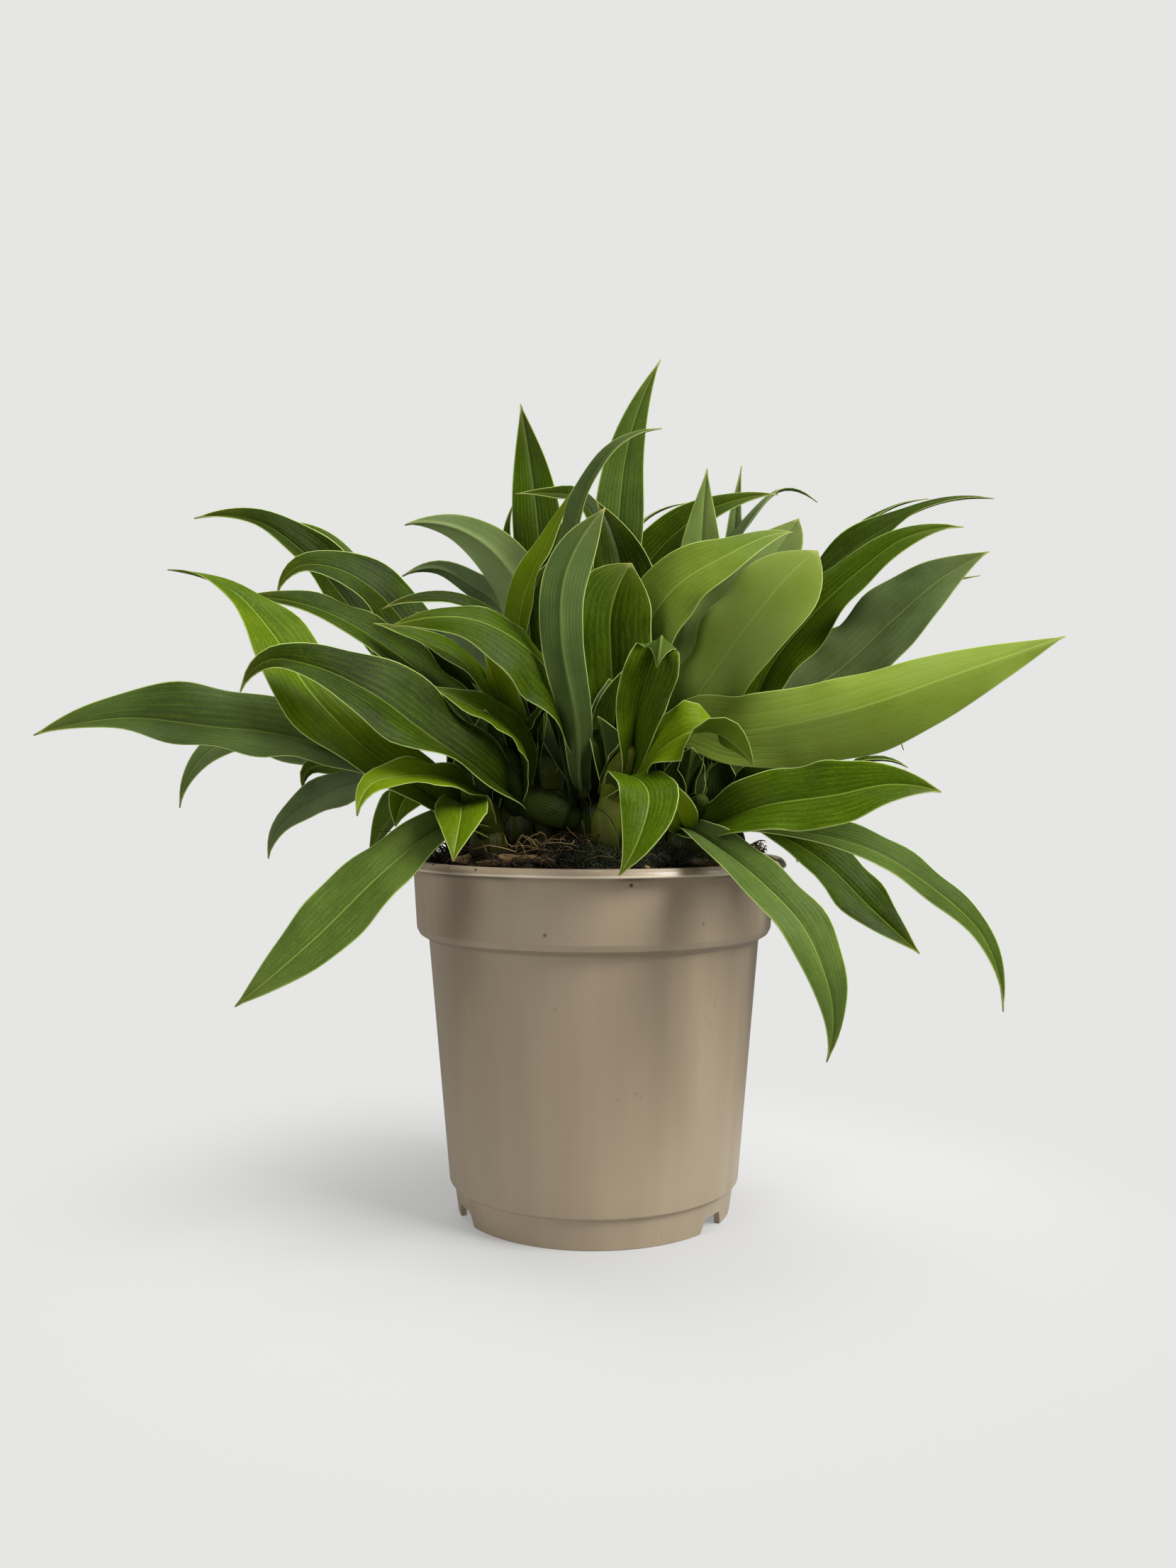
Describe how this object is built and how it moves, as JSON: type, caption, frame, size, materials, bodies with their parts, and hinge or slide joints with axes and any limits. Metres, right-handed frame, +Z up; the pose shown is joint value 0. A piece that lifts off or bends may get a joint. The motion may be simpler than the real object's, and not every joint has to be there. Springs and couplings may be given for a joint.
{
  "type": "potted orchid",
  "caption": "Young leafy orchid clump of strap-shaped leaves on small bulbs, heaped bark mix, in a round plain nursery pot with rim, collar and stepped foot.",
  "frame": {"origin": "centre of the flat pad under the pot, on the surface that the pot stands on", "axes": "+Z up, the picture's front faces -Y, +X to the right of the picture"},
  "size_m": [0.2923, 0.2098, 0.2712],
  "materials": {
    "pot": "taupe moulded polypropylene, satin",
    "mix": "dark damp bark and fibre",
    "foliage": "living leaf, waxy satin"
  },
  "bodies": {
    "root": {"pot": "pot", "potting_mix": "mix", "growth_left": "foliage", "growth_left_back": "foliage", "growth_front_left": "foliage", "growth_front_left_upper": "foliage", "growth_inner_left": "foliage", "growth_middle_left": "foliage", "growth_middle": "foliage", "growth_centre": "foliage", "growth_inner_right": "foliage", "growth_right_back": "foliage", "growth_back_right": "foliage", "growth_front": "foliage", "growth_right": "foliage", "growth_front_right": "foliage", "growth_back_left": "foliage"}
  },
  "joints": []
}
